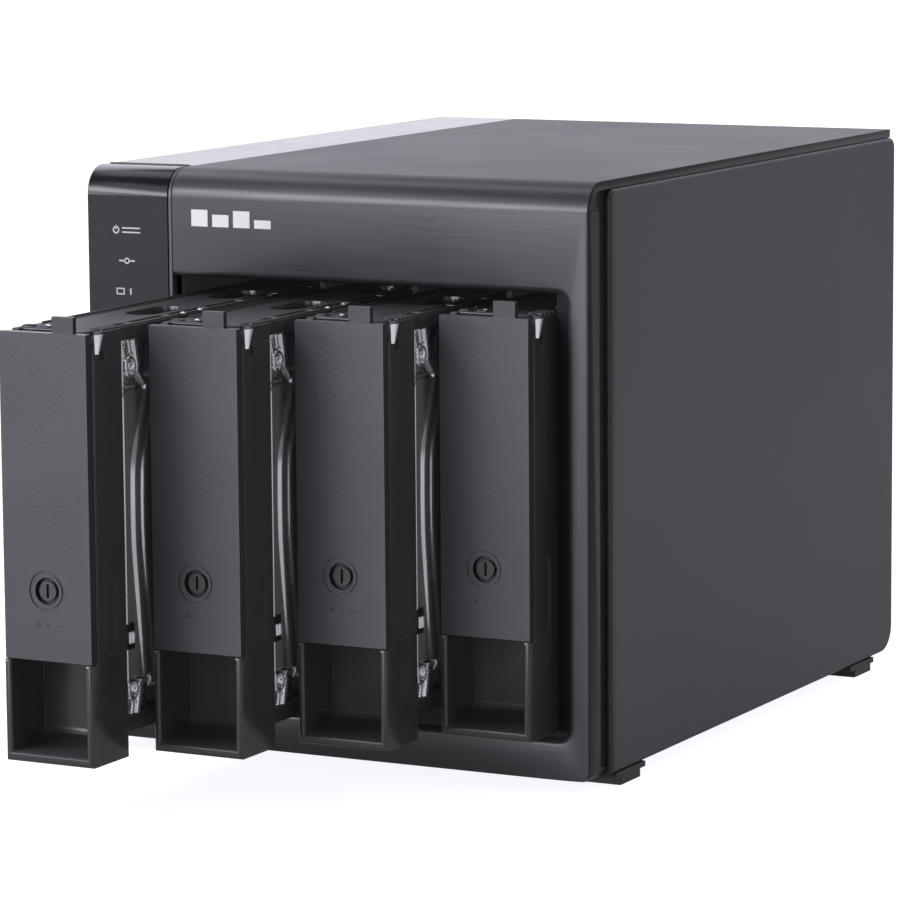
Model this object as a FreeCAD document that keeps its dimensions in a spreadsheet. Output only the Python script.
import FreeCAD, Part
import os
import re
import Sketcher

# A four-bay desktop storage enclosure.
# X runs to the right seen from the front, Y runs to the back, Z runs up.
# The origin is on the resting plane under the middle of the body.
# Each drive tray is built around its own middle with its front edge at Y = 0, then placed.
# A shape that cuts runs 1 mm or more past the material it cuts, and joined shapes overlap a little.

os.makedirs("parts", exist_ok=True)
doc = FreeCAD.newDocument("storage_enclosure")
sheet = doc.addObject("Spreadsheet::Sheet", "sizes")

SIZES = {
    # housing
    "half_width": 79,            # front bezel and top
    "panel_half": 80,            # outside of the side panels
    "half_depth": 109.5,
    "top_level": 168.5,
    "base_level": 4,             # low edge of the front
    "pan_level": 5,
    "skin": 2.5,                 # moulded front and top
    "corner_radius": 8,          # front edge of the top
    "bezel_depth": 7.5,
    "flange": 2,
    "tongue": 1.5,
    "tongue_set": 1.1,
    "strip_edge": -52.5,         # seam between the status strip and the bezel
    "seam": 0.15,
    "bead_right": -51.2,         # the narrow bead between the strip and the bezel
    "low_corner_radius": 2.5,
    "panel_edge_radius": 1.2,
    "strip_wrap": 13,            # how far the status strip runs over the top
    "panel_front": -97,
    "groove_depth": 4,           # how far the groove's inner wall runs behind a side panel
    "panel_thick": 2,
    "panel_low": 4,
    "panel_top": 165.9,
    "panel_rear_radius": 8,
    "panel_front_radius": 3,
    "rear_face": 107.5,
    "sheet_metal": 1.5,
    "fit": 0.1,                  # gap between fixed parts
    "slot_half": 1.5,            # cooling slots in the floor
    "slot_reach": 40,
    "slot_pitch": 10,
    # bay opening and cage
    "open_left": -51.4,
    "open_right": 72.5,
    "open_low": 15.5,
    "open_top": 138.3,
    "open_radius": 3,
    "cage_front": -101.8,
    "cage_back": 58,
    "cage_left": -52,
    "cage_right": 73.5,
    "cage_roof": 139,
    "rib_half": 0.9,             # guides between the trays
    "rib_low_top": 24,
    "rib_high_low": 126,
    "rib_low_set": 1.8,
    "rib_high_set": 26,
    "vent_long": 14,             # openings in the cage's sides
    "vent_tall": 18,
    "vent_step": 24,
    "vent_rise": 28,
    "vent_first": -80,
    "vent_low": 40,
    # trays
    "first_middle": -36.5,
    "tray_pitch": 30,
    "tray_half": 13.7,
    "tray_wall": 2,
    "tray_low": 16.6,
    "tray_top": 132.6,
    "tray_floor": 2.7,
    "tray_roof": 2,
    "box_depth": 18.1,
    "box_back": 2,
    "recess_round": 4.5,
    "split_level": 44.4,
    "rail_half": 13.05,
    "rail_low": 23,
    "rail_length": 142,
    "rail_wall": 2,
    "rail_floor": 1.5,
    "shelf_front": 9,
    "side_slot_front": 8,        # small slot low on the tray's right side
    "side_slot_back": 13.2,
    "side_slot_low": 46,
    "side_slot_high": 66,
    "window_half": 5,            # rounded openings in the tray's top
    "window_long": 12,
    "window_first": 52,
    "window_step": 44,
    "edge_groove": 1.2,
    "out_one": 92,
    "out_two": 65,
    "out_three": 39,
    "out_four": 12.5,
    # lever with hook, and its lock
    "face_half": 13.5,
    "face_set": 0.6,
    "face_thick": 2.5,
    "face_gap": 0.2,
    "hinge_back": 8,
    "hinge_level": 126.2,
    "trunnion": 1.5,
    "running": 0.05,
    "hinge_relief": 4.7,
    "hook_left": 2.6,
    "hook_right": 9.2,
    "hook_top": 137,
    "lock_level": 63.5,
    "lock_radius": 3.7,
    "lock_boss": 5.5,
    "lock_collar": 4.8,
    "boss_back": 9,
    "cam_back": 11.2,
    "cam_half": 2.2,
    "cam_reach": 8.5,
    "lock_disc": 2.6,            # middle of the lock, standing in a round well
    "lock_well": 1.4,
    "coin_slot": 0.4,
    "coin_reach": 1.9,
    "ring_groove": 0.35,
    "grip_half": 11,
    "grip_back": 7,
    "ear_inner": 9.7,
    "ear_outer": 11.5,
    "ear_reach": 2.6,
    "trunnion_end": 13.2,
    # contact spring on the tray's right side
    "spring_front": 4.9,
    "spring_back": 8.7,
    "spring_low": 127.4,
    "spring_high": 132.2,
    "spring_thick": 0.4,
    "spring_bend": 0.7,
    # hard drive
    "drive_front": 19,
    "drive_length": 147,
    "drive_low": 27.35,
    "drive_top": 129,
    "drive_body": 10,
    "drive_lid": 11.6,
    "drive_side": 13.05,
    "board_face": -11.45,
    "platter_radius": 46,
    "platter_middle": 68.5,
    "platter_level": 80,
    "arm_front": 100,            # raised part of the lid over the arm
    "arm_back": 140,
    "arm_low": 44,
    "arm_high": 112,
    "lid_screw": 1.2,
    "lid_screw_head": 1.9,
    "lid_screw_socket": 0.8,
    "corner_boss": 4.6,
    "corner_size": 14,
    "corner_height": 12.5,
    "side_hole": 1.6,
    "plug_deep": 10.5,
    "plug_low": 45,
    "plug_high": 87,
    "plug_face": -8,
    "drive_board_front": 30,
    "drive_board_low": 40,
    "drive_board_high": 118,
    # backplane, fan and rear
    "backplane_front": 60,
    "backplane_low": 12,
    "backplane_high": 142,
    "board_thick": 1.6,
    "air_slot_low": 34,
    "air_slot_high": 122,
    "socket_deep": 3,
    "socket_low": 44,
    "socket_high": 88,
    "main_left": -74.5,          # main board, on edge behind the status strip
    "main_front": -92,
    "main_back": 90,
    "main_low": 14,
    "main_high": 150,
    "chip_half": 14,
    "chip_low": 76,
    "chip_high": 104,
    "memory_front": 30,
    "memory_low": 60,
    "memory_high": 130,
    "inductor_front": -60,
    "capacitor": 4,
    "capacitor_level": 132,
    "sink_half": 20,
    "sink_low": 70,
    "sink_high": 110,
    "sink_pitch": 4,
    "sink_fin": 1.4,
    "sink_reach": -58,
    "fan_middle": 10,
    "fan_level": 76,
    "fan_half": 60,
    "fan_front": 81,
    "fan_rear": 106,
    "fan_bore": 58,
    "blade_tip": 56,
    "blade_half": 9,
    "blade_thick": 1.6,
    "blade_pitch": 52,
    "hub_radius": 19,
    "shaft": 2,
    "strut_half": 2,
    "fan_hole": 52.5,
    "fan_screw": 2.2,
    "fan_screw_head": 4,
    "guard_wire": 0.8,
    "guard_step": 14,
    "guard_reach": 70,
    "lug_radius": 5,
    "lug_thick": 0.7,
    "rear_slot_low": 147,        # cooling slots along the top of the rear panel
    "rear_slot_high": 158,
    "rear_slot_half": 2,
    "rear_slot_pitch": 8,
    # controls and feet
    "strip_middle": -65.8,
    "button_radius": 5,
    "button_level": 40,
    "button_collar": 6.2,
    "button_length": 4.5,
    "reset_radius": 1.6,
    "reset_level": 118,
    "port_middle": -65.5,
    "jack_level": 30,
    "jack_radius": 5,
    "jack_half": 6,
    "network_half": 8,
    "network_low": 59,
    "network_high": 73,
    "expansion_half": 6.6,
    "expansion_low": 90.5,
    "expansion_high": 97.5,
    "port_length": 16,
    "lock_slot_half": 3.5,       # slot for a security cable
    "lock_slot_low": 140,
    "lock_slot_high": 143,
    "led_board_set": 6,
    "pipe_set": 5,
    "pipe_tip": 1.4,
    "pipe_first": 75,
    "pipe_step": 15,
    "foot_side": 64,
    "foot_step": 2.2,
    "foot_place": 85,
    "foot_half": 6.5,
    "foot_wide": 9.5,
    "foot_stud": 3,
}
for row, (alias, value) in enumerate(SIZES.items(), start=1):
    sheet.set(f"A{row}", alias)
    sheet.set(f"B{row}", str(value))
    sheet.setAlias(f"B{row}", alias)
doc.recompute()

NODES = {}
TURN_TO_X = FreeCAD.Rotation(FreeCAD.Vector(0, 1, 0), 90)
TURN_TO_Y = FreeCAD.Rotation(FreeCAD.Vector(1, 0, 0), -90)


def formula(text):
    """Turn the size names in a text into references to the sheet."""
    def reference(found):
        word = found.group(0)
        return "sizes." + word if word in SIZES else word

    return re.sub(r"[a-z]\w*", reference, str(text))


def bind(thing, prop, text):
    thing.setExpression(prop, formula(text))


def node(name, thing):
    """Register a finished sub-part under its node name."""
    thing.Label = name
    NODES[name] = thing
    return thing


def box(x, y, z):
    """A box between pairs of low and high faces."""
    made = doc.addObject("Part::Box", "block")
    for prop, axis, (low, high) in (("Length", "x", x), ("Width", "y", y), ("Height", "z", z)):
        bind(made, prop, f"({high}) - ({low})")
        bind(made, "Placement.Base." + axis, low)
    return made


def rod(axis, radius, low, high, at):
    """A cylinder along an axis, with at holding the two other coordinates in X, Y, Z order."""
    made = doc.addObject("Part::Cylinder", "rod")
    bind(made, "Radius", radius)
    bind(made, "Height", f"({high}) - ({low})")
    if axis != "z":
        made.Placement = FreeCAD.Placement(FreeCAD.Vector(), TURN_TO_X if axis == "x" else TURN_TO_Y)
    others = iter(at)
    for letter in "xyz":
        bind(made, "Placement.Base." + letter, low if letter == axis else next(others))
    return made


def ring(radius, wire, x, y, z):
    """A wire ring about the Y direction."""
    made = doc.addObject("Part::Torus", "ring")
    bind(made, "Radius1", radius)
    bind(made, "Radius2", wire)
    made.Placement = FreeCAD.Placement(FreeCAD.Vector(), TURN_TO_Y)
    for letter, value in zip("xyz", (x, y, z)):
        bind(made, "Placement.Base." + letter, value)
    return made


def fuse(*things):
    if len(things) == 1:
        return things[0]
    made = doc.addObject("Part::MultiFuse", "joined")
    made.Shapes = list(things)
    made.Refine = True
    return made


def cut(base, *tools):
    made = doc.addObject("Part::Cut", "trimmed")
    made.Base = base
    made.Tool = fuse(*tools)
    made.Refine = True
    return made


def common(first, second):
    made = doc.addObject("Part::MultiCommon", "shared")
    made.Shapes = [first, second]
    return made


def group(*things):
    """Separate solids kept together, such as a set of screws."""
    made = doc.addObject("Part::Compound", "group")
    made.Links = list(things)
    return made


def turned(thing, axis, degrees, x="0", y="0", z="0"):
    """The thing turned about an axis through its own origin, then moved."""
    made = group(thing)
    made.Placement = FreeCAD.Placement(FreeCAD.Vector(), FreeCAD.Rotation(axis, degrees))
    for letter, value in zip("xyz", (x, y, z)):
        bind(made, "Placement.Base." + letter, value)
    return made


def new_body(name):
    body = doc.addObject("PartDesign::Body", name)
    return node(name, body)


def sketch(body, name, plane, level, points):
    """A closed outline on one of the body's own planes, each corner held by two dimensions."""
    made = body.newObject("Sketcher::SketchObject", name)
    made.AttachmentSupport = [(next(f for f in body.Origin.OriginFeatures if f.Role == plane), "")]
    made.MapMode = "FlatFace"
    bind(made, "AttachmentOffset.Base.z", level)
    values = [tuple(float(sheet_value(v)) for v in point) for point in points]
    count = len(points)
    for k in range(count):
        start, end = values[k], values[(k + 1) % count]
        made.addGeometry(Part.LineSegment(FreeCAD.Vector(*start, 0), FreeCAD.Vector(*end, 0)), False)
    for k in range(count):
        made.addConstraint(Sketcher.Constraint("Coincident", k, 2, (k + 1) % count, 1))
    for k, point in enumerate(points):
        for kind, value, text in zip(("DistanceX", "DistanceY"), values[k], point):
            index = made.addConstraint(Sketcher.Constraint(kind, -1, 1, k, 1, value))
            made.setExpression(f"Constraints[{index}]", formula(text))
    doc.recompute()
    return made


def sheet_value(text):
    """The number a size text stands for, used as a sketch's first guess."""
    probe = doc.getObject("probe") or doc.addObject("App::FeaturePython", "probe")
    if "Value" not in probe.PropertiesList:
        probe.addProperty("App::PropertyFloat", "Value")
    return probe.evalExpression(formula(text))


def rectangle(u, v):
    return [(u[0], v[0]), (u[1], v[0]), (u[1], v[1]), (u[0], v[1])]


def pad(body, outline, length, backwards=False):
    made = body.newObject("PartDesign::Pad", outline.Label + "_pad")
    made.Profile = outline
    bind(made, "Length", length)
    made.Reversed = backwards
    doc.recompute()
    return made


def pocket(body, outline, length, backwards=False):
    """A pocket that has to take material away."""
    before = body.Shape.Volume
    made = body.newObject("PartDesign::Pocket", outline.Label + "_pocket")
    made.Profile = outline
    bind(made, "Length", length)
    made.Reversed = backwards
    doc.recompute()
    if not body.Shape.Volume < before - 1:
        raise RuntimeError(f"{made.Label} removed nothing")
    return made


def soften(body, kind, size, chosen):
    """Fillet or chamfer the edges whose middle the test accepts."""
    tip = body.Tip
    names = []
    for index, edge in enumerate(tip.Shape.Edges, start=1):
        middle = edge.valueAt((edge.FirstParameter + edge.LastParameter) / 2)
        if chosen(middle, edge):
            names.append(f"Edge{index}")
    made = body.newObject("PartDesign::" + kind, f"{body.Label}_{kind.lower()}")
    made.Base = (tip, names)
    bind(made, "Radius" if kind == "Fillet" else "Size", size)
    doc.recompute()
    return made


def near(first, second):
    return abs(first - second) < 0.01


def straight(edge, letter):
    """True for an edge that runs along one axis."""
    ends = [vertex.Point for vertex in edge.Vertexes]
    if len(ends) != 2:
        return False
    return all(near(getattr(ends[0], other), getattr(ends[1], other)) for other in "xyz" if other != letter)


# ---------------------------------------------------------------- front and top skin
def skin_profile(rear):
    """The outline of the bent front and top skin, seen from the side."""
    return [
        ("-half_depth", "base_level"),
        ("-half_depth", "top_level"),
        (rear, "top_level"),
        (rear, "top_level - skin"),
        ("-half_depth + skin", "top_level - skin"),
        ("-half_depth + skin", "base_level"),
    ]


def round_front_edge(body):
    """The outer and inner curve between the front and the top."""
    front = -SIZES["half_depth"]
    top = SIZES["top_level"]
    wall = SIZES["skin"]
    soften(
        body, "Fillet", "corner_radius",
        lambda p, e: straight(e, "x") and near(p.y, front) and near(p.z, top),
    )
    soften(
        body, "Fillet", "corner_radius - skin",
        lambda p, e: straight(e, "x") and near(p.y, front + wall) and near(p.z, top - wall),
    )


# the set-back wall seen in the groove between the front and the side panels
TONGUE = rectangle(
    ("-half_depth + skin", "panel_front + groove_depth"),
    ("pan_level + sheet_metal + 2 * fit", "top_level - skin"),
)
FLANGE_SIDE = rectangle(
    ("-half_depth + skin", "-half_depth + bezel_depth"), ("base_level", "top_level - corner_radius"),
)

bezel = new_body("front_bezel")
outline = sketch(bezel, "bezel_side", "YZ_Plane", "bead_right + seam", skin_profile("rear_face"))
pad(bezel, outline, "half_width - bead_right - seam")
round_front_edge(bezel)
outline = sketch(bezel, "bezel_right_flange", "YZ_Plane", "half_width - flange", FLANGE_SIDE)
pad(bezel, outline, "flange")
outline = sketch(bezel, "bezel_tongue", "YZ_Plane", "half_width - tongue_set - tongue", TONGUE)
pad(bezel, outline, "tongue")
outline = sketch(
    bezel, "bezel_low_flange", "XY_Plane", "base_level",
    rectangle(("bead_right + seam", "half_width"), ("-half_depth + skin", "-half_depth + bezel_depth")),
)
pad(bezel, outline, "flange")
outline = sketch(
    bezel, "bay_opening", "XZ_Plane", "half_depth",
    rectangle(("open_left", "open_right"), ("open_low", "open_top")),
)
pocket(bezel, outline, "skin")
soften(
    bezel, "Fillet", "open_radius",
    lambda p, e: straight(e, "y") and near(p.x, SIZES["open_right"])
    and (near(p.z, SIZES["open_low"]) or near(p.z, SIZES["open_top"])),
)
soften(
    bezel, "Fillet", "low_corner_radius",
    lambda p, e: straight(e, "y") and near(p.x, SIZES["half_width"]) and near(p.z, SIZES["base_level"]),
)

bead = new_body("seam_bead")
WRAPPED = skin_profile("-half_depth + strip_wrap")
outline = sketch(bead, "bead_side", "YZ_Plane", "strip_edge + seam", WRAPPED)
pad(bead, outline, "bead_right - strip_edge - seam")
round_front_edge(bead)

status = new_body("status_panel")
outline = sketch(status, "status_side", "YZ_Plane", "-half_width", WRAPPED)
pad(status, outline, "strip_edge - seam + half_width")
round_front_edge(status)
for side_name, low in (("outer", "-half_width"), ("inner", "strip_edge - seam - flange")):
    outline = sketch(status, f"status_{side_name}_flange", "YZ_Plane", low, FLANGE_SIDE)
    pad(status, outline, "flange")
outline = sketch(status, "status_tongue", "YZ_Plane", "tongue_set - half_width", TONGUE)
pad(status, outline, "tongue")
soften(
    status, "Fillet", "low_corner_radius",
    lambda p, e: straight(e, "y") and near(p.x, -SIZES["half_width"]) and near(p.z, SIZES["base_level"]),
)
button_bore = status.newObject("PartDesign::SubtractiveCylinder", "button_bore")
button_bore.Placement = FreeCAD.Placement(FreeCAD.Vector(), TURN_TO_Y)
bind(button_bore, "Radius", "button_radius + running")
bind(button_bore, "Height", "skin + 2")
for letter, value in (("x", "strip_middle"), ("y", "-half_depth - 1"), ("z", "button_level")):
    bind(button_bore, "Placement.Base." + letter, value)
doc.recompute()

strip = new_body("top_strip")
outline = sketch(
    strip, "strip_outline", "XY_Plane", "top_level - skin",
    rectangle(("-half_width", "bead_right - seam"), ("-half_depth + strip_wrap + 2 * seam", "rear_face")),
)
pad(strip, outline, "skin")

# ---------------------------------------------------------------- side panels
for side_name, low in (("left", "-panel_half"), ("right", "panel_half - panel_thick")):
    panel = new_body(f"side_panel_{side_name}")
    outline = sketch(
        panel, f"side_{side_name}", "YZ_Plane", low,
        rectangle(("panel_front", "half_depth"), ("panel_low", "panel_top")),
    )
    pad(panel, outline, "panel_thick")
    soften(
        panel, "Fillet", "panel_rear_radius",
        lambda p, e: straight(e, "x") and near(p.y, SIZES["half_depth"]) and near(p.z, SIZES["panel_low"]),
    )
    soften(
        panel, "Fillet", "panel_front_radius",
        lambda p, e: straight(e, "x") and near(p.z, SIZES["panel_top"]),
    )
    outside = SIZES["panel_half"] if side_name == "right" else -SIZES["panel_half"]
    soften(
        panel, "Fillet", "panel_edge_radius",
        lambda p, e: straight(e, "y") and near(p.x, outside) and near(p.z, SIZES["panel_low"]),
    )

# ---------------------------------------------------------------- base, cage and rear panel
INSIDE = ("-panel_half + panel_thick + fit", "panel_half - panel_thick - fit")
REAR_CUT = ("rear_face - 3", "rear_face + 1")


def around(middle, half):
    """A pair of faces at equal distances from a middle."""
    return f"{middle} - {half}", f"{middle} + {half}"


def fan_corners():
    """The fan's four screw places."""
    return [
        (f"fan_middle + {across} * fan_hole", f"fan_level + {up} * fan_hole")
        for across in (-1, 1) for up in (-1, 1)
    ]


floor_slots = []
for k in range(12):
    across = around(f"slot_pitch * {k - 4.5}", "slot_half")
    floor_slots.append(box(across, ("-slot_reach", "slot_reach"), ("pan_level - 1", "pan_level + 3")))
node("base_pan", cut(
    box(INSIDE, ("-half_depth + bezel_depth + fit", "rear_face - sheet_metal - fit"),
        ("pan_level", "pan_level + sheet_metal")),
    *floor_slots,
))

ribs = []
for k in range(1, 5):
    across = around(f"first_middle + tray_pitch * {k - 0.5}", "rib_half")
    ribs.append(box(across, ("cage_front + rib_low_set", "cage_back"), ("open_low - 0.5", "rib_low_top")))
    ribs.append(box(across, ("cage_front + rib_high_set", "cage_back"), ("rib_high_low", "cage_roof + 0.5")))
along = ("cage_front", "cage_back")
upright = ("pan_level + sheet_metal", "cage_roof + sheet_metal")
cage = fuse(
    box(("cage_left - sheet_metal", "cage_left"), along, upright),
    box(("cage_right", "cage_right + sheet_metal"), along, upright),
    box(("cage_left - 1", "cage_right + 1"), along, ("open_low - fit - sheet_metal", "open_low - fit")),
    box(("cage_left - 1", "cage_right + 1"), along, ("cage_roof", "cage_roof + sheet_metal")),
    *ribs,
)
vents = []
for side in ("cage_left", "cage_right"):
    for column in range(5):
        start = f"vent_first + vent_step * {column}"
        for row in range(3):
            low = f"vent_low + vent_rise * {row}"
            vents.append(box(around(side, "3"), (start, f"{start} + vent_long"), (low, f"{low} + vent_tall")))
node("drive_cage", cut(cage, *vents))

CENTRE = ("fan_middle", "fan_level")
holes = [rod("y", "fan_bore - 0.5", *REAR_CUT, CENTRE)]
for place in fan_corners():
    holes.append(rod("y", "fan_screw + 2 * fit", *REAR_CUT, place))
holes.append(rod("y", "jack_radius + fit", *REAR_CUT, ("port_middle", "jack_level")))
for port in ("network", "expansion"):
    upright = (f"{port}_low - 2 * fit", f"{port}_high + 2 * fit")
    holes.append(box(around("port_middle", f"({port}_half + 2 * fit)"), REAR_CUT, upright))
holes.append(rod("y", "reset_radius + running", *REAR_CUT, ("port_middle", "reset_level")))
holes.append(box(around("port_middle", "lock_slot_half"), REAR_CUT, ("lock_slot_low", "lock_slot_high")))
for k in range(15):
    across = around(f"-45 + rear_slot_pitch * {k}", "rear_slot_half")
    holes.append(box(across, REAR_CUT, ("rear_slot_low", "rear_slot_high")))
node("rear_panel", cut(
    box(INSIDE, ("rear_face - sheet_metal", "rear_face"), ("pan_level", "panel_top - fit")), *holes,
))

# ---------------------------------------------------------------- backplane and main board
air_slots = []
sockets = []
for k in range(4):
    middle = f"first_middle + tray_pitch * {k}"
    air_slots.append(box(
        (f"{middle} + 4", f"{middle} + 12"), ("backplane_front - 1", "backplane_front + 3"),
        ("air_slot_low", "air_slot_high"),
    ))
    sockets.append(cut(
        box(around(f"{middle} - 10", "3"), ("backplane_front - socket_deep", "backplane_front"),
            ("socket_low", "socket_high")),
        box(around(f"{middle} - 10", "1.5"), ("backplane_front - 4", "backplane_front - 1"),
            ("socket_low + 3", "socket_high - 3")),
    ))
node("backplane_board", cut(
    box(("cage_left - 1", "cage_right + 1"), ("backplane_front", "backplane_front + board_thick"),
        ("backplane_low", "backplane_high")),
    *air_slots,
))
node("drive_sockets", group(*sockets))

CHIP_SIDE = "main_left + board_thick - 0.1"
node("main_board", fuse(
    box(("main_left", "main_left + board_thick"), ("main_front", "main_back"), ("main_low", "main_high")),
    box((CHIP_SIDE, "main_left + 3.5"), ("-chip_half", "chip_half"), ("chip_low", "chip_high")),
    box((CHIP_SIDE, "main_left + 5"), ("memory_front", "memory_front + 4"), ("memory_low", "memory_high")),
    box((CHIP_SIDE, "main_left + 7.5"), ("inductor_front", "inductor_front + 12"), ("30", "60")),
    *[rod("x", "capacitor", CHIP_SIDE, "main_left + 12.5", (f"inductor_front + {12 * k}", "capacitor_level"))
      for k in range(3)],
))
node("main_heatsink", fuse(
    box(("main_left + 3.5", "main_left + 5.5"), ("-sink_half", "sink_half"), ("sink_low", "sink_high")),
    *[box(("main_left + 5.3", "sink_reach"), ("-sink_half", "sink_half"),
          (f"sink_low + sink_pitch * {k}", f"sink_low + sink_pitch * {k} + sink_fin")) for k in range(10)],
))

# ---------------------------------------------------------------- fan
frame_ring = cut(
    box(around("fan_middle", "fan_half"), ("fan_front", "fan_rear"), around("fan_level", "fan_half")),
    rod("y", "fan_bore", "fan_front - 1", "fan_rear + 1", CENTRE),
    *[rod("y", "fan_screw + fit", "fan_front - 1", "fan_rear + 1", place) for place in fan_corners()],
)
ABOUT_Y = FreeCAD.Vector(0, 1, 0)
struts = []
for k in range(4):
    bar = box(("0", "fan_bore + 1"), ("-1.5", "1.5"), ("-strut_half", "strut_half"))
    struts.append(turned(bar, ABOUT_Y, 45 + 90 * k, "fan_middle", "fan_rear - 2", "fan_level"))
motor_base = cut(
    fuse(rod("y", "hub_radius", "fan_rear - 4", "fan_rear - 0.5", CENTRE), *struts),
    rod("y", "shaft + running", "fan_rear - 6", "fan_rear + 2", CENTRE),
)
node("fan_frame", fuse(frame_ring, motor_base))

BLADES = 7
blades = []
for k in range(BLADES):
    thick = ("-blade_thick / 2", "blade_thick / 2")
    paddle = box(("hub_radius - 2", "blade_tip + 4"), ("-blade_half", "blade_half"), thick)
    pitched = turned(paddle, FreeCAD.Vector(1, 0, 0), SIZES["blade_pitch"])
    blades.append(turned(pitched, ABOUT_Y, 360 / BLADES * k, "fan_middle", "fan_front + 11", "fan_level"))
swept = rod("y", "blade_tip", "fan_front + 2", "fan_rear - 5", CENTRE)
hub = rod("y", "hub_radius", "fan_front + 2", "fan_rear - 4.3", CENTRE)
axle = rod("y", "shaft", "fan_rear - 6", "fan_rear - 0.8", CENTRE)
node("fan_rotor", fuse(common(fuse(*blades), swept), hub, axle))

wires = []
for k in range(1, 5):
    wires.append(ring(f"guard_step * {k}", "guard_wire", "fan_middle", "rear_face + guard_wire", "fan_level"))
for k in range(2):
    bar = rod("x", "guard_wire", "-guard_reach", "guard_reach", ("0", "0"))
    level = "rear_face + guard_wire + 0.06"
    wires.append(turned(bar, ABOUT_Y, 45 + 90 * k, "fan_middle", level, "fan_level"))
lugs = []
lug_holes = []
screws = []
for place in fan_corners():
    head_face = "rear_face + lug_thick"
    lugs.append(rod("y", "lug_radius", "rear_face", head_face, place))
    lug_holes.append(rod("y", "fan_screw_head + fit", head_face, "rear_face + 4", place))
    lug_holes.append(rod("y", "fan_screw + 2 * fit", "rear_face - 1", "rear_face + 1", place))
    head = rod("y", "fan_screw_head", head_face, f"{head_face} + 1.2", place)
    shank = rod("y", "fan_screw", "fan_rear - 12", f"{head_face} + 0.1", place)
    slot = box(around(place[0], "2.6"), (f"{head_face} + 0.5", "rear_face + 3"), around(place[1], "0.5"))
    screws.append(cut(fuse(head, shank), slot))
node("fan_guard", cut(fuse(*wires, *lugs), *lug_holes))
node("fan_screws", group(*screws))

# ---------------------------------------------------------------- rear ports and front controls
jack_at = ("port_middle", "jack_level")
node("dc_jack", fuse(
    cut(
        fuse(
            box(around("port_middle", "jack_half"), ("rear_face - 14", "rear_face - sheet_metal"),
                around("jack_level", "jack_half")),
            rod("y", "jack_radius", "rear_face - 2", "rear_face + 1", jack_at),
        ),
        rod("y", "3.2", "rear_face - 10", "rear_face + 2", jack_at),
    ),
    rod("y", "1", "rear_face - 11", "rear_face", jack_at),
))
for port in ("network", "expansion"):
    half = f"{port}_half"
    low = f"{port}_low"
    high = f"{port}_high"
    node(f"{port}_port", cut(
        box(around("port_middle", half), ("rear_face - port_length", "rear_face + 0.6"), (low, high)),
        box(around("port_middle", f"({half} - 1)"), ("rear_face - 12", "rear_face + 1"),
            (f"{low} + 1", f"{high} - 1")),
    ))
reset_at = ("port_middle", "reset_level")
node("reset_button", fuse(
    rod("y", "reset_radius", "rear_face - 6", "rear_face + 0.3", reset_at),
    rod("y", "reset_radius + 1.4", "rear_face - 4.2", "rear_face - sheet_metal - 1.1", reset_at),
))
button_at = ("strip_middle", "button_level")
node("power_button", fuse(
    rod("y", "button_radius", "-half_depth + fit", "-half_depth + fit + button_length", button_at),
    rod("y", "button_collar", "-half_depth + skin + 0.2", "-half_depth + skin + 1.2", button_at),
))
node("led_board", box(
    ("-75", "-56"), ("-half_depth + led_board_set", "-half_depth + led_board_set + 1.4"), ("20", "158"),
))
node("light_pipe", fuse(
    box(around("strip_middle", "4.2"), ("-half_depth + pipe_set", "-half_depth + pipe_set + 0.9"),
        ("60", "156")),
    *[rod("y", "pipe_tip", "-half_depth + skin + fit", "-half_depth + pipe_set + 0.2",
          ("strip_middle", f"pipe_first + pipe_step * {k}")) for k in range(6)],
))

# ---------------------------------------------------------------- feet
for end_name, sense in (("front", -1), ("rear", 1)):
    for side_name, hand in (("left", -1), ("right", 1)):
        across = sorted((f"{hand} * foot_side", f"{hand} * panel_half"), key=sheet_value)
        wide = sorted((f"{hand} * (foot_side - 2)", f"{hand} * panel_half"), key=sheet_value)
        place = f"{sense} * foot_place"
        node(f"foot_{end_name}_{side_name}", fuse(
            box(across, around(place, "foot_half"), ("0", "foot_step + 0.1")),
            box(wide, around(f"{sense} * (foot_place - 0.5)", "foot_wide"), ("foot_step", "panel_low - fit")),
            box(around(f"{hand} * 70", "foot_stud"), around(place, "foot_stud"),
                ("panel_low - 0.2", "pan_level")),
        ))

# ---------------------------------------------------------------- trays, each with its lever, lock and drive
HINGE = ("hinge_back", "hinge_level")
LOCK = ("0", "lock_level")
WIDE = ("-tray_half - 1", "tray_half + 1")
INNER = ("-tray_half + tray_wall", "tray_half - tray_wall")
LEVER_BACK = "face_set + face_thick"
DRIVE_REAR = "drive_front + drive_length"
SCREW_SPOTS = ((22.5, 48), (88, 31.5), (88, 125), (146, 48), (146, 108))


def mirrored(hand, near_side, far_side):
    """The X faces of a block on the left (hand -1) or the right (hand 1)."""
    return sorted((f"{hand} * {near_side}", f"{hand} * {far_side}"), key=sheet_value)


def hinge_relief(degrees):
    """The space the lever's upper end sweeps when it tips back."""
    space = box(WIDE, ("-20", "-hinge_relief"), ("-4", "20"))
    return turned(space, FreeCAD.Vector(-1, 0, 0), degrees, "0", *HINGE)


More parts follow.
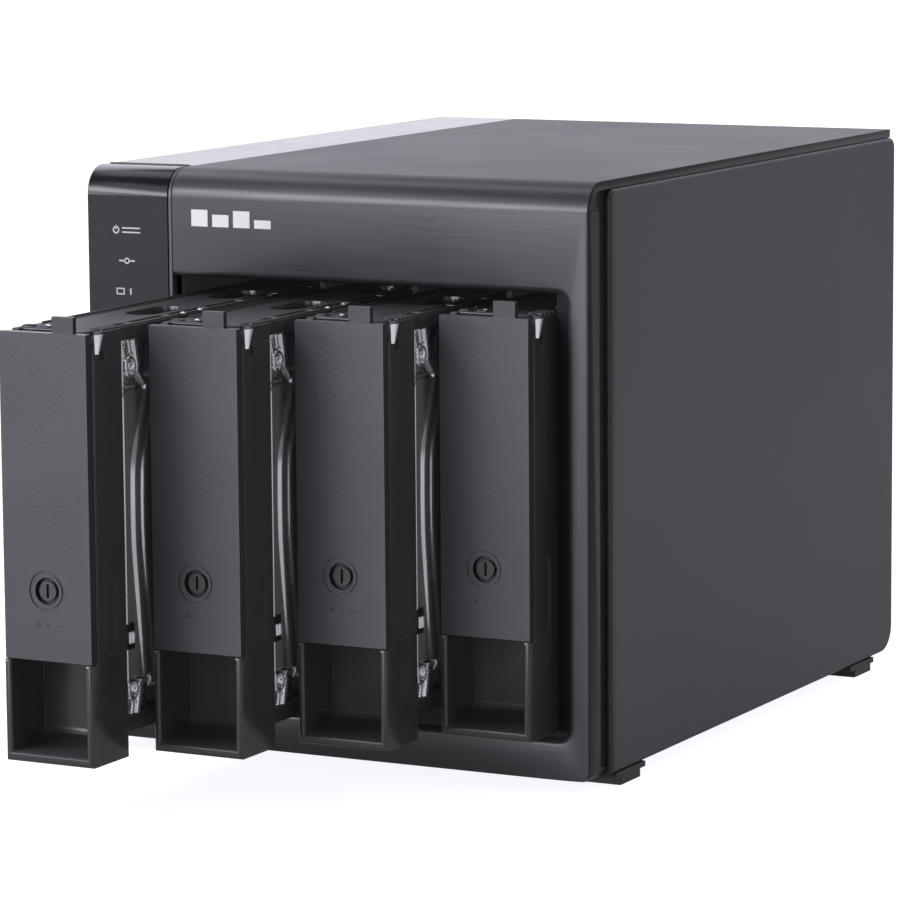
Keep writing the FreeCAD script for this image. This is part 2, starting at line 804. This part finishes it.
def tray_front_box():
    """The hollow front of the tray with the finger recess and the seat for the lever."""
    shell = box(("-tray_half", "tray_half"), ("0", "box_depth"), ("tray_low", "tray_top"))
    cavity = box(INNER, ("-1", "box_depth - box_back"), ("tray_low + tray_floor", "tray_top - tray_roof"))
    lever_space = box(WIDE, ("-1", f"{LEVER_BACK} + face_gap"), ("split_level", "tray_top + 1"))
    roof_slot = box(INNER, ("-1", "hinge_back + 1.2"), ("tray_top - tray_roof - 1", "tray_top + 1"))
    side_slot = box(
        ("tray_half - 0.6", "tray_half + 1"), ("side_slot_front", "side_slot_back"),
        ("side_slot_low", "side_slot_high"),
    )
    trunnion_bore = rod("x", "trunnion + running", *WIDE, HINGE)
    return cut(
        shell, cavity, lever_space, roof_slot, side_slot, hinge_relief(22.5), hinge_relief(45), trunnion_bore,
    )


def recess_curve():
    """The round inner corner at the bottom of the finger recess."""
    back_edge = "box_depth - box_back"
    centre = (f"{back_edge} - recess_round", "tray_low + tray_floor + recess_round")
    return cut(
        box(INNER, (centre[0], f"{back_edge} + 0.5"), ("tray_low + tray_floor - 0.5", centre[1])),
        rod("x", "recess_round", "-tray_half", "tray_half", centre),
    )


def tray_frame():
    shelf = box(
        INNER, ("shelf_front", "box_depth - box_back + 0.5"), ("split_level + 0.3", "split_level + 1.9"),
    )
    along = ("box_depth - 0.5", "box_depth + rail_length")
    across = ("-rail_half - 1", "rail_half + 1")
    low_rail = cut(
        box(("-rail_half", "rail_half"), along, ("rail_low", "drive_low - running")),
        box(("-rail_half + rail_wall", "rail_half - rail_wall"), ("box_depth", "box_depth + rail_length + 1"),
            ("rail_low + rail_floor", "drive_low + 1")),
        *[rod("x", "1.1", *across, (f"{60 + 40 * k}", "rail_low + 2.6")) for k in range(3)],
    )
    openings = []
    for k in range(2):
        start = f"window_first + window_step * {k}"
        end = f"{start} + window_long"
        through = ("drive_top - 1", "tray_top + 1")
        openings.append(box(("-window_half", "window_half"), (start, end), through))
        openings.append(rod("z", "window_half", *through, ("0", start)))
        openings.append(rod("z", "window_half", *through, ("0", end)))
    for side in ("-rail_half + 2.2", "rail_half - 2.2 - edge_groove"):
        openings.append(box((side, f"{side} + edge_groove"), ("box_depth + 3", "box_depth + rail_length - 3"),
                            ("tray_top - edge_groove", "tray_top + 1")))
    high_rail = cut(
        box(("-rail_half", "rail_half"), along, ("drive_top + fit", "tray_top")), *openings,
    )
    return fuse(tray_front_box(), recess_curve(), shelf, low_rail, high_rail)


def tray_lever():
    low = "split_level + face_gap"
    root = f"{LEVER_BACK} - 0.2"
    pieces = [
        box(("-face_half", "face_half"), ("face_set", LEVER_BACK), (low, "tray_top")),
        box(("hook_left", "hook_right"), ("face_set + 0.8", LEVER_BACK), ("tray_top - 0.5", "hook_top")),
        box(("-grip_half", "grip_half"), (root, "grip_back"), (low, f"{low} + 2")),
        rod("y", "lock_boss", root, "boss_back", LOCK),
    ]
    for hand in (-1, 1):
        pieces.append(box(mirrored(hand, "ear_inner", "ear_outer"), (root, "hinge_back + ear_reach"),
                          ("hinge_level - 4.2", "hinge_level + 3")))
        rib = mirrored(hand, "ear_inner", "(ear_outer - 0.3)")
        pieces.append(box(rib, (root, "6"), ("50", "hinge_level - 4")))
        pieces.append(rod("x", "trunnion", *mirrored(hand, "(ear_outer - 0.1)", "trunnion_end"), HINGE))
    ring_groove = cut(
        rod("y", "lock_boss + 0.1", "0", "face_set + ring_groove", LOCK),
        rod("y", "lock_boss - 0.9", "-1", "2", LOCK),
    )
    return cut(fuse(*pieces), rod("y", "lock_radius + running", "0", "boss_back + 1", LOCK), ring_groove)


def tray_lock():
    plug = fuse(
        rod("y", "lock_radius", "face_set + 0.3", "cam_back", LOCK),
        rod("y", "lock_collar", "boss_back + running", "boss_back + 1", LOCK),
        box(("-cam_half", "cam_half"), ("cam_back - 0.2", "cam_back + 1.4"),
            ("lock_level - 3", "lock_level + cam_reach")),
    )
    well = cut(
        rod("y", "lock_radius + 1", "0", "face_set + lock_well", LOCK),
        rod("y", "lock_disc", "-1", "face_set + lock_well + 1", LOCK),
    )
    slot = box(("-coin_slot", "coin_slot"), ("0", "face_set + 1.5"), around("lock_level", "coin_reach"))
    return cut(plug, well, slot)


def contact_spring():
    bend_side = "tray_half + spring_thick"
    strap = box(("tray_half", bend_side), ("spring_front", "spring_back"), ("spring_low", "spring_high"))
    middle = (bend_side, "(spring_front + spring_back) / 2")
    bend = rod("z", "spring_bend", "spring_low + 0.6", "spring_high - 0.6", middle)
    behind = box(("tray_half - 2", "tray_half + 0.2"), ("4", "10"), ("127", "133"))
    return fuse(strap, cut(bend, behind))


def screw_bores(low, high):
    return [rod("x", "lid_screw + fit", low, high, (f"{y}", f"{z}")) for y, z in SCREW_SPOTS]


def drive_housing():
    block = box(("board_face + fit", "drive_body"), ("drive_front", DRIVE_REAR), ("drive_low", "drive_top"))
    corners = []
    for y in ("drive_front + 6", f"{DRIVE_REAR} - 8"):
        for z in ("drive_low + 6", "drive_top - 6"):
            corners.append(rod("x", "corner_boss", "drive_body - 1", "drive_side - 0.4", (y, z)))
    plug_space = box(
        ("board_face", "plug_face + fit"), (f"{DRIVE_REAR} - plug_deep - 0.5", f"{DRIVE_REAR} + 1"),
        ("plug_low - 0.2", "plug_high + 0.2"),
    )
    side_holes = []
    for y in (48, 90, 133):
        for z in ("drive_low - 1", "drive_top - 5"):
            side_holes.append(rod("z", "side_hole", z, f"{z} + 6", ("-2", f"{y}")))
    return cut(fuse(block, *corners), plug_space, *side_holes, *screw_bores("4", "drive_body + 1"))


def drive_cover():
    plate = box(("drive_body + running", "drive_lid"), ("drive_front + 1.2", f"{DRIVE_REAR} - 2"),
                ("drive_low + 1", "drive_top - 1"))
    corners = []
    for low in ("drive_front", f"{DRIVE_REAR} - corner_size"):
        for base in ("drive_low", "drive_top - corner_height"):
            corners.append(box(("drive_body - 1", "drive_lid + 1"), (low, f"{low} + corner_size"),
                               (base, f"{base} + corner_height")))
    lid_face = "drive_side - running"
    platter = common(
        rod("x", "platter_radius", "drive_lid - 0.5", lid_face, ("platter_middle", "platter_level")),
        box(("drive_body", "drive_side"), ("drive_front + 5.5", "drive_front + 110"),
            ("drive_low + 8", "drive_top - 5")),
    )
    arm = box(("drive_lid - 0.5", lid_face), ("arm_front", "arm_back"), ("arm_low", "arm_high"))
    return cut(fuse(plate, platter, arm), *corners, *screw_bores("drive_body - 1", "drive_side + 1"))


def drive_board():
    return fuse(
        box(("-drive_side", "board_face"), ("drive_board_front", f"{DRIVE_REAR} - 2"),
            ("drive_board_low", "drive_board_high")),
        box(("-drive_side", "plug_face"), (f"{DRIVE_REAR} - plug_deep", DRIVE_REAR),
            ("plug_low", "plug_high")),
    )


def drive_screws():
    made = []
    for y, z in SCREW_SPOTS:
        place = (f"{y}", f"{z}")
        head = rod("x", "lid_screw_head", "drive_lid", "drive_side - fit", place)
        shank = rod("x", "lid_screw", "5", "drive_lid + 0.1", place)
        socket = rod("x", "lid_screw_socket", "drive_side - 0.9", "drive_side + 1", place)
        made.append(cut(fuse(head, shank), socket))
    return group(*made)


TRAY_PIECES = {
    "tray_frame": tray_frame,
    "tray_lever": tray_lever,
    "tray_lock": tray_lock,
    "contact_spring": contact_spring,
    "drive_housing": drive_housing,
    "drive_cover": drive_cover,
    "drive_board": drive_board,
    "drive_screws": drive_screws,
}
for number, pulled_out in enumerate(("out_one", "out_two", "out_three", "out_four"), start=1):
    for piece_name, make in TRAY_PIECES.items():
        piece = node(f"{piece_name}_{number}", make())
        bind(piece, "Placement.Base.x", f"first_middle + tray_pitch * {number - 1}")
        bind(piece, "Placement.Base.y", f"-half_depth - {pulled_out}")

# ---------------------------------------------------------------- check and export
doc.recompute()
for thing in doc.Objects:
    if "Invalid" in thing.State or "Error" in thing.State:
        raise RuntimeError(f"{thing.Label} did not recompute: {thing.State}")
for name, thing in NODES.items():
    if thing.Shape.isNull() or not thing.Shape.isValid():
        raise RuntimeError(f"{name} has no valid shape")
    thing.Shape.exportStep(f"parts/{name}.step")
